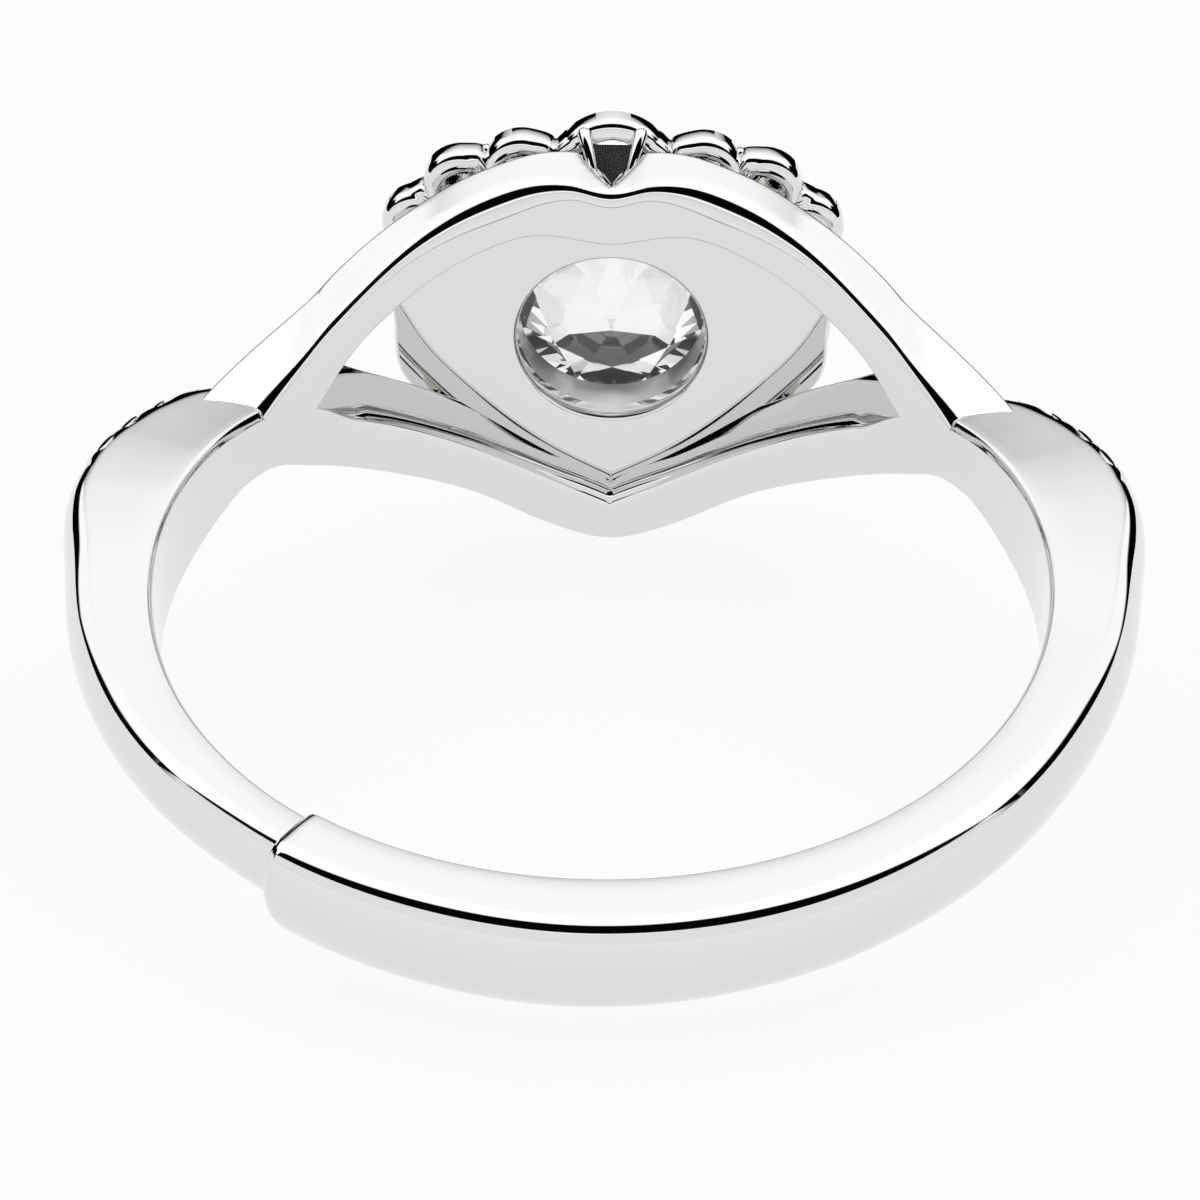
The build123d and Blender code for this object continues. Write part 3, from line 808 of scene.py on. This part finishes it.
class HALORING_OT_back_plate(bpy.types.Operator):
    """Build the heart-shaped back plate with its round light hole"""

    bl_idname = "haloring.back_plate"
    bl_label = "Back Plate"

    def execute(self, context):
        head = sizes()[1]
        places = head_places()
        half = round_samples(scaled(PLATE_EDGE, head.halo_half_width, head.rise, head.halo_drop), 16)
        reaches = reaches_round(half + [(-x, z) for x, z in reversed(half[1:-1])], 288)
        soft = 0.08 * MM
        hole, depth, rounding = head.light_hole, head.hole_depth, head.hole_rounding
        back, front = places["plate_back"], places["plate_front"]
        arc = [(1 - sin(a), 1 - cos(a)) for a in map(radians, (0, 18, 36, 54, 72, 90))]

        def edge(place, inward):
            return head_ring(place, [reach - inward for reach in reaches])

        rings = [round_ring(back + depth * far, hole + rounding * near, 288) for near, far in arc[::-1]]
        rings += [edge(back + soft * far, soft * near) for near, far in arc]
        rings += [edge(front - soft * near, soft * far) for near, far in arc]
        rim = hole + rounding
        for share in (0.8, 0.4):
            rings.append(head_ring(front, [rim + (reach - soft - rim) * share for reach in reaches]))
        rings.append(round_ring(front, hole, 288))
        ring_piece("back_plate", rings, 40.0, closed_along=True)
        return {"FINISHED"}


def add_bar(mesh, start, end, start_radius, end_radius, sides):
    """Add a tapered round bar with rounded ends between two points."""
    way = (end - start).normalized()
    across = way.orthogonal().normalized()
    beside = way.cross(across)
    rings = []
    stops = [(-0.9, 0.42, 0), (-0.6, 0.8, 0), (0.0, 1.0, 0), (0.0, 1.0, 1), (0.6, 0.8, 1), (0.9, 0.42, 1)]
    for shift, share, far in stops:
        radius = end_radius if far else start_radius
        middle = (end if far else start) + way * shift * radius
        rings.append([middle + (across * x + beside * y) * radius * share for x, y in round_ways(sides)])
    add_rings(mesh, rings)


def add_pebble(mesh, middle, first, second, sizes_along, subdivisions=4):
    """Add an ellipsoid with its half sizes along two given directions and the one square to both."""
    first, second = first.normalized(), second.normalized()
    turn = Matrix((first, second, first.cross(second))).transposed().to_4x4()
    shape = Matrix.Diagonal((*[size / MM for size in sizes_along], 1))
    pose = Matrix.Translation(middle) @ turn @ shape
    bmesh.ops.create_icosphere(mesh, subdivisions=subdivisions, radius=1 * MM, matrix=pose)


class HALORING_OT_gallery(bpy.types.Operator):
    """Build the gallery's wall, hollowed between leaning ribs, and the ribs and panel in the cleft"""

    bl_idname = "haloring.gallery"
    bl_label = "Gallery"

    def execute(self, context):
        band, head = sizes()[:2]
        places = head_places()
        seats = halo_seats()
        ways = [atan2(z - head.centre_height, x) for x, z in seats]
        reaches = reaches_round(seats, 1440)
        sunk_foot, sunk_top = 0.02 * MM, 0.1 * MM
        low, high = places["plate_front"] - sunk_foot, places["halo_back"] + sunk_top

        def between(first, second):
            return abs((first - second + pi) % (2 * pi) - pi)

        def hollow(way, share):
            """How deep the wall is hollowed under a stone, at a share of the gallery's height."""
            nearest = min(range(len(ways)), key=lambda number: between(way, ways[number]))
            if nearest == 0:
                return 0.0
            deepest = 0.5 * MM
            foot_width, narrowing = 0.46, 0.72
            pitch = between(ways[(nearest + 1) % len(ways)], ways[nearest - 1]) / 2
            width = foot_width * pitch * (1.0 - narrowing * share)
            return deepest * smooth_step(0.0, 0.55, 1 - between(way, ways[nearest]) / width)

        rings = []
        foot_share = 0.93
        cleft_dip = 0.75 * MM
        cleft_reach = 0.22
        for share in [step / 14 for step in range(15)]:
            lean = foot_share + 0.07 * share * share
            outs = []
            for step, reach in enumerate(reaches):
                way = 2 * pi * step / len(reaches)
                dip = cleft_dip * (1 - smooth_step(0.0, cleft_reach, between(way, ways[0]))) * (1 - share)
                outs.append(reach * lean - hollow(way, share) - dip)
            rings.append(head_ring(low + (high - low) * share, outs))
        wall = 0.9 * MM
        inside = [reach * foot_share - wall for reach in reaches]
        rings += [head_ring(high, inside), head_ring(low, inside)]
        ring_piece("gallery_ribs", rings, 50.0, closed_along=True)

        mesh = bmesh.new()
        tip = Vector((0.0, band.finger_radius + head.branch_depth * 0.86, head.rise * 0.936 - 0.36 * MM))
        top = head.halo_rise + 0.86 * MM
        foot_radius, crest_radius = 0.09 * MM, 0.15 * MM
        for side in (-1, 1):
            foot = tip + Vector((side * 0.4 * MM, 0.1 * MM, 0.26 * MM))
            crest = Vector((side * 0.6 * MM, places["halo_back"] + 0.05 * MM, top))
            add_bar(mesh, foot, crest, foot_radius, crest_radius, 24)
        finish_piece("cleft_ribs", mesh, 60.0)

        steepness = 0.68
        knee = Vector((0.0, places["halo_back"] + 0.08 * MM, 0.0))
        knee.z = tip.z + (knee.y - tip.y) * steepness
        back = Vector((0.0, 0.12 * MM, -0.12 * MM))
        rings = []
        for share, half in ((0.0, 0.02 * MM), (0.25, 0.2 * MM), (0.5, 0.4 * MM), (1.0, 0.5 * MM)):
            left, right = [tip.lerp(knee, share) + Vector((side * half, 0.0, 0.0)) for side in (-1, 1)]
            rings.append([left, right, right + back, left + back])
        rings.append([corner + Vector((0.0, 0.0, top - knee.z)) for corner in rings[-1]])
        ring_piece("cleft_panel", rings, 30.0, material=brushed_rhodium())
        return {"FINISHED"}


def halo_reaches(bases, discs, less=0.0):
    """How far the halo's scalloped edge reaches all round, with its round bowls drawn in by a length.

    The dips between the bowls are filled softly.
    """
    middle = sizes()[1].centre_height
    blend = 0.75 * MM
    out = []
    for base, (dx, dz) in zip(bases, round_ways(len(bases))):
        reaches = [base - 0.25 * less, 0.0]
        for x, z, radius in discs:
            radius -= less
            z -= middle
            along = x * dx + z * dz
            off = abs(x * dz - z * dx)
            if off < radius and along > 0:
                reaches.append(along + sqrt(radius * radius - off * off))
        second, first = sorted(reaches)[-2:]
        out.append(first + max(0.0, blend - (first - second)) ** 2 / (4 * blend))
    return out


class HALORING_OT_halo(bpy.types.Operator):
    """Build the scalloped frame of the halo with its seats, beads and small cups behind"""

    bl_idname = "haloring.halo"
    bl_label = "Halo Frame and Beads"

    def execute(self, context):
        head, stones = sizes()[1:]
        places = head_places()
        seats = halo_seats()
        back, front, girdle = places["halo_back"], places["halo_front"], places["centre_girdle"]
        band_height = 0.2 * MM
        rim = front - band_height
        bowl = 0.42 * MM
        tube = head.light_hole + 0.04 * MM
        recess = stones.centre_radius + 0.03 * MM
        rounding_power = 1.2
        bead_spread, bead_lift = 0.42 * MM, 0.06 * MM
        cup_sizes = (0.4 * MM, 0.3 * MM, 0.3 * MM)
        discs = [(x, z, stones.halo_radius + head.seat_wall) for x, z in seats]
        discs.append((0.0, head.collar_rise, head.collar_radius))
        bases = reaches_round(seats, 1440)
        edge = halo_reaches(bases, discs)

        def web(place, share):
            return head_ring(place, [recess + (base - recess) * share for base in bases])

        rings = [round_ring(place, tube, 1440) for place in (girdle - 0.16 * MM, back)]
        rings += [web(back, share) for share in (0.35, 0.7)]
        for step in range(11):
            swing = step / 10 * pi / 2
            place = back + (rim - back) * (1 - cos(swing)) ** rounding_power
            rings.append(head_ring(place, halo_reaches(bases, discs, bowl * (1 - sin(swing)))))
        for inward, past in HALO_LIP:
            rings.append(head_ring(front + past * MM, [reach - inward * MM for reach in edge]))
        rings += [web(front + past * MM, share) for share, past in HALO_DISH]
        soft = 0.02 * MM
        for place, radius in ((front, recess + soft), (front - soft, recess), (girdle, recess)):
            rings.append(round_ring(place, radius, 1440))
        cut_seats(ring_piece("halo_frame", rings, 40.0, closed_along=True), front)

        beads, cups = bmesh.new(), bmesh.new()
        for (x, z), (next_x, next_z) in zip(seats, seats[1:] + seats[:1]):
            middle = Vector(((x + next_x) / 2, 0.0, (z + next_z) / 2))
            aside = Vector((z - next_z, 0.0, next_x - x)).normalized() * bead_spread
            for side in (-1, 1):
                place = middle + aside * side + Vector((0.0, front + bead_lift, 0.0))
                add_pebble(beads, place, Vector((1, 0, 0)), Vector((0, 1, 0)), (head.bead_radius,) * 3, 3)
            outward = Vector((middle.x, 0.0, middle.z - head.centre_height)).normalized()
            place = middle + outward * 0.02 * MM + Vector((0.0, back + 0.12 * MM, 0.0))
            add_pebble(cups, place, outward.cross(Vector((0, 1, 0))), outward, cup_sizes)
        finish_piece("halo_beads", beads, 60.0)
        finish_piece("halo_cups", cups, 60.0)
        return {"FINISHED"}


def cut_seats(piece, front):
    """Cut the round, tapered rooms of the halo's stones out of the frame."""
    stones = sizes()[2]
    mesh = bmesh.new()
    for x, z in halo_seats():
        radius = stones.cleft_radius if x == 0.0 and z > 0 else stones.halo_radius
        rings = []
        for share, height in ((0.25, -0.62), (1.035, 0.0), (1.035, 1.2)):
            reach, place = radius * share, front + radius * height
            rings.append([(x + reach * dx, place, z + reach * dz) for dx, dz in round_ways(48)])
        add_rings(mesh, rings)
    rooms = resting_mesh("seat_rooms", mesh)
    cutter = new_object("seat_rooms", rooms)
    cut = piece.modifiers.new("Seats", "BOOLEAN")
    cut.object = cutter
    cut.operation = "DIFFERENCE"
    cut.solver = "EXACT"
    piece.modifiers.move(len(piece.modifiers) - 1, 0)
    weighted = piece.modifiers["Even Normals"]
    weighted.show_viewport = False
    bpy.context.view_layer.update()
    done = bpy.data.meshes.new_from_object(piece.evaluated_get(bpy.context.evaluated_depsgraph_get()))
    weighted.show_viewport = True
    piece.modifiers.remove(cut)
    old = piece.data
    piece.data = done
    bpy.data.objects.remove(cutter)
    bpy.data.meshes.remove(old)
    bpy.data.meshes.remove(rooms)
    shade_smooth(done, 28.0)


class HALORING_OT_centre_setting(bpy.types.Operator):
    """Build the light tube behind the centre stone and its claws"""

    bl_idname = "haloring.centre_setting"
    bl_label = "Centre Setting"

    def execute(self, context):
        head, stones = sizes()[1:]
        places = head_places()
        clearance, wall = 0.01 * MM, 0.28 * MM
        inner = head.light_hole + clearance
        low = places["plate_back"] + head.hole_depth + clearance
        high = places["centre_girdle"] - 0.14 * MM
        profile = [(inner, low + (high - low) * step / 4) for step in range(5)]
        profile += [(inner + wall, high), (inner + wall, low)]
        rings = [round_ring(place, radius, 256) for radius, place in profile]
        ring_piece("light_tube", rings, 30.0, closed_along=True, material=satin_rhodium())

        mesh = bmesh.new()
        reach = stones.centre_radius + 0.08 * MM
        foot = places["halo_front"] - 0.05 * MM
        top = places["centre_girdle"] + stones.centre_girdle + stones.centre_crown / 2 + 0.12 * MM
        stops = ((reach, foot), (reach - 0.03 * MM, top - 0.1 * MM), (reach - 0.34 * MM, top))
        for way in (head.claw_turn, pi - head.claw_turn, pi + head.claw_turn, -head.claw_turn):
            base, bend, tip = [
                Vector((0, place, head.centre_height)) + Vector((cos(way), 0, sin(way))) * out
                for out, place in stops
            ]
            add_bar(mesh, base, bend, head.claw_radius, head.claw_radius * 0.9, 32)
            add_bar(mesh, bend, tip, head.claw_radius * 0.88, head.claw_radius * 0.66, 32)
        finish_piece("centre_claws", mesh, 60.0)
        return {"FINISHED"}


class HALORING_OT_shoulder_beads(bpy.types.Operator):
    """Build the beads that hold the shoulders' stones"""

    bl_idname = "haloring.shoulder_beads"
    bl_label = "Shoulder Beads"

    def execute(self, context):
        band, stones = sizes()[::2]
        middles, pitch = shoulder_steps()
        thickness, width, crown = section_curves(SHOULDER_SECTIONS)
        lean = radians(32)
        bead_sizes = (0.31 * MM, 0.04 * MM, 0.14 * MM)
        mesh = bmesh.new()
        for side in (-1, 1):
            for number in range(stones.shoulder_count):
                turn = middles[0] + pitch * (number - 0.4)
                bulge, half = crown(turn), width(turn) / 2
                swing = atan2(sin(lean) * bulge, cos(lean) * half)
                reach = band.finger_radius + thickness(turn) - bulge * (1 - sin(swing))
                tangent = Vector((side * cos(turn), -sin(turn), 0.0))
                outward = Vector((side * sin(turn), cos(turn), 0.0))
                for height in (-1, 1):
                    way = outward * sin(lean) + Vector((0, 0, height * cos(lean)))
                    middle = band_point(side * turn, reach, height * half * cos(swing))
                    add_pebble(mesh, middle, tangent, way, bead_sizes)
        finish_piece("shoulder_beads", mesh, 60.0)
        return {"FINISHED"}


class HALORING_OT_stones(bpy.types.Operator):
    """Give the cut stones their clear material"""

    bl_idname = "haloring.stones"
    bl_label = "Stones"

    def execute(self, context):
        material = clear_zirconia()
        for name in STONE_NODES:
            materials = NODES[name].data.materials
            if materials:
                materials[0] = material
            else:
                materials.append(material)
        return {"FINISHED"}


class HALORING_OT_stage(bpy.types.Operator):
    """Lay the pale floor, light the studio and set the camera"""

    bl_idname = "haloring.stage"
    bl_label = "Stage, Light and Camera"

    def execute(self, context):
        scene = context.scene
        pose = resting_pose()
        half_floor = 1.5
        sunk = -0.002 * MM
        corners = [(half_floor * x, half_floor * y, 0) for x, y in ((-1, -1), (1, -1), (1, 1), (-1, 1))]
        mesh = bpy.data.meshes.new("floor")
        mesh.from_pydata(corners, [], [(0, 1, 2, 3)])
        mesh.materials.append(light_table())
        floor = new_object("floor", mesh)
        floor.location.z = sunk

        distance = 55 * MM
        pixels_per_mm = 51.95
        rise = radians(40.0)
        swing = radians(1.4)
        target = Vector((-0.01 * MM, -0.15 * MM, 0.0))
        back = Vector((sin(swing) * cos(rise), -cos(swing) * cos(rise), sin(rise)))
        right = Vector((cos(swing), sin(swing), 0.0))
        axes = Matrix((right, back.cross(right), back)).transposed().to_4x4()
        focal_pixels = pixels_per_mm * distance / MM
        picture_width = 1200
        camera = bpy.data.cameras.new("camera")
        camera.sensor_fit = "HORIZONTAL"
        camera.sensor_width = 36.0
        camera.lens = focal_pixels / picture_width * camera.sensor_width
        camera.clip_start = 1 * MM
        holder = new_object("camera", camera)
        holder.matrix_world = pose @ Matrix.Translation(target + back * distance) @ axes
        scene.camera = holder

        lamp = bpy.data.lights.new("softbox", "AREA")
        lamp.energy = 0.06
        lamp.size = 0.12
        new_object("softbox", lamp).location = (0.0, 0.05, 0.3)
        scene.view_settings.view_transform = "Standard"
        self.light_studio(scene, pose.to_3x3())
        return {"FINISHED"}

    def light_studio(self, scene, pose):
        """White tent all round, with dark cards that the metal mirrors as its black lines.

        All of it stands in the ring's own frame, so the frame's axes are turned with the resting ring. A
        dark strip crosses the tent just past overhead. Of two cards behind the head, one is narrow and
        fades out high up, and the other is a low skirt round the far half that steps down at its ends.
        The camera itself sees a plain white wall behind the floor.
        """
        colours = scene.halo_ring_colours
        world = bpy.data.worlds.new("studio")
        scene.world = world
        world.use_nodes = True
        tree = world.node_tree
        tree.nodes.clear()
        place = add_node(tree, "ShaderNodeTexCoord").outputs["Generated"]
        parts = []
        for axis in (Vector((1, 0, 0)), pose @ Vector((0, 1, 0)), pose @ Vector((0, 0, 1))):
            part = add_node(tree, "ShaderNodeVectorMath", {"operation": "DOT_PRODUCT"}, {0: place})
            part.inputs[1].default_value = axis
            parts.append(part.outputs["Value"])
        across, far, up = parts
        arch = add_node(tree, "ShaderNodeMath", {"operation": "ARCTAN2"}, {0: up, 1: far})
        turn = {"From Min": -pi, "From Max": pi}
        share = add_node(tree, "ShaderNodeMapRange", turn, {"Value": arch.outputs["Value"]})
        tent = add_node(tree, "ShaderNodeValToRGB", {}, {"Fac": share.outputs["Result"]})
        ramp = tent.color_ramp.elements
        while len(ramp) < len(TENT_LIGHT):
            ramp.new(0.5)
        for element, (degree, _) in zip(ramp, TENT_LIGHT):
            element.position = (degree + 180) / 360
        for element, (_, light) in zip(ramp, TENT_LIGHT):
            pairs = zip(colours.card, colours.sky)
            element.color = [dark + (bright - dark) * light for dark, bright in pairs]

        sideways = add_node(tree, "ShaderNodeMath", {"operation": "ARCTAN2"}, {0: across, 1: far})
        aside = add_node(tree, "ShaderNodeMath", {"operation": "ABSOLUTE"}, {0: sideways.outputs["Value"]})
        off = aside.outputs["Value"]
        soft = {"interpolation_type": "SMOOTHSTEP"}
        ends = {"From Min": radians(56), "From Max": radians(66), "To Max": 0.18, **soft}
        step_down = add_node(tree, "ShaderNodeMapRange", ends, {"Value": off}).outputs["Result"]
        lowered = add_node(tree, "ShaderNodeMath", {"operation": "SUBTRACT"}, {0: up, 1: step_down})
        cards = ((30, 38, 0, 48, up), (88, 98, 12, 18, lowered.outputs["Value"]))
        lit = tent.outputs["Color"]
        for near, wide, low, high, height in cards:
            sides = {"From Min": radians(near), "From Max": radians(wide), **soft}
            beside = add_node(tree, "ShaderNodeMapRange", sides, {"Value": off}).outputs["Result"]
            edge = {"From Min": sin(radians(low)), "From Max": sin(radians(high)), **soft}
            above = add_node(tree, "ShaderNodeMapRange", edge, {"Value": height}).outputs["Result"]
            clear = add_node(tree, "ShaderNodeMath", {"operation": "MAXIMUM"}, {0: beside, 1: above})
            scale = {0: lit, "Scale": clear.outputs["Value"]}
            lit = add_node(tree, "ShaderNodeVectorMath", {"operation": "SCALE"}, scale).outputs["Vector"]
        light = add_node(tree, "ShaderNodeBackground", {"Strength": 1.35}, {"Color": lit})
        wall = add_node(tree, "ShaderNodeBackground", {"Color": tuple(colours.sky)})
        ray = add_node(tree, "ShaderNodeLightPath").outputs["Is Camera Ray"]
        sights = {0: ray, 1: light.outputs["Background"], 2: wall.outputs["Background"]}
        seen = add_node(tree, "ShaderNodeMixShader", {}, sights)
        add_node(tree, "ShaderNodeOutputWorld", {}, {"Surface": seen.outputs["Shader"]})


class HALORING_PT_panel(bpy.types.Panel):
    """Lists the ring's pieces and its stage"""

    bl_label = "Halo Ring"
    bl_idname = "HALORING_PT_panel"
    bl_space_type = "VIEW_3D"
    bl_region_type = "UI"
    bl_category = "Halo Ring"

    def draw(self, context):
        for operator in OPERATORS:
            self.layout.operator(operator.bl_idname)


GROUPS = {
    "halo_ring_band": HaloRingBandSizes,
    "halo_ring_head": HaloRingHeadSizes,
    "halo_ring_stones": HaloRingStoneSizes,
    "halo_ring_colours": HaloRingColours,
}
OPERATORS = [
    HALORING_OT_band_right,
    HALORING_OT_band_left,
    HALORING_OT_branches,
    HALORING_OT_back_plate,
    HALORING_OT_gallery,
    HALORING_OT_halo,
    HALORING_OT_centre_setting,
    HALORING_OT_shoulder_beads,
    HALORING_OT_stones,
    HALORING_OT_stage,
]


def register():
    """Register the groups, the operators and the panel."""
    for name, group in GROUPS.items():
        bpy.utils.register_class(group)
        setattr(bpy.types.Scene, name, bpy.props.PointerProperty(type=group))
    for operator in OPERATORS:
        bpy.utils.register_class(operator)
    bpy.utils.register_class(HALORING_PT_panel)


def unregister():
    """Take everything out again, in the other order."""
    bpy.utils.unregister_class(HALORING_PT_panel)
    for operator in reversed(OPERATORS):
        bpy.utils.unregister_class(operator)
    for name, group in reversed(list(GROUPS.items())):
        delattr(bpy.types.Scene, name)
        bpy.utils.unregister_class(group)


def main():
    register()
    for operator in OPERATORS:
        area, name = operator.bl_idname.split(".")
        getattr(getattr(bpy.ops, area), name)()


if __name__ == "__main__":
    main()
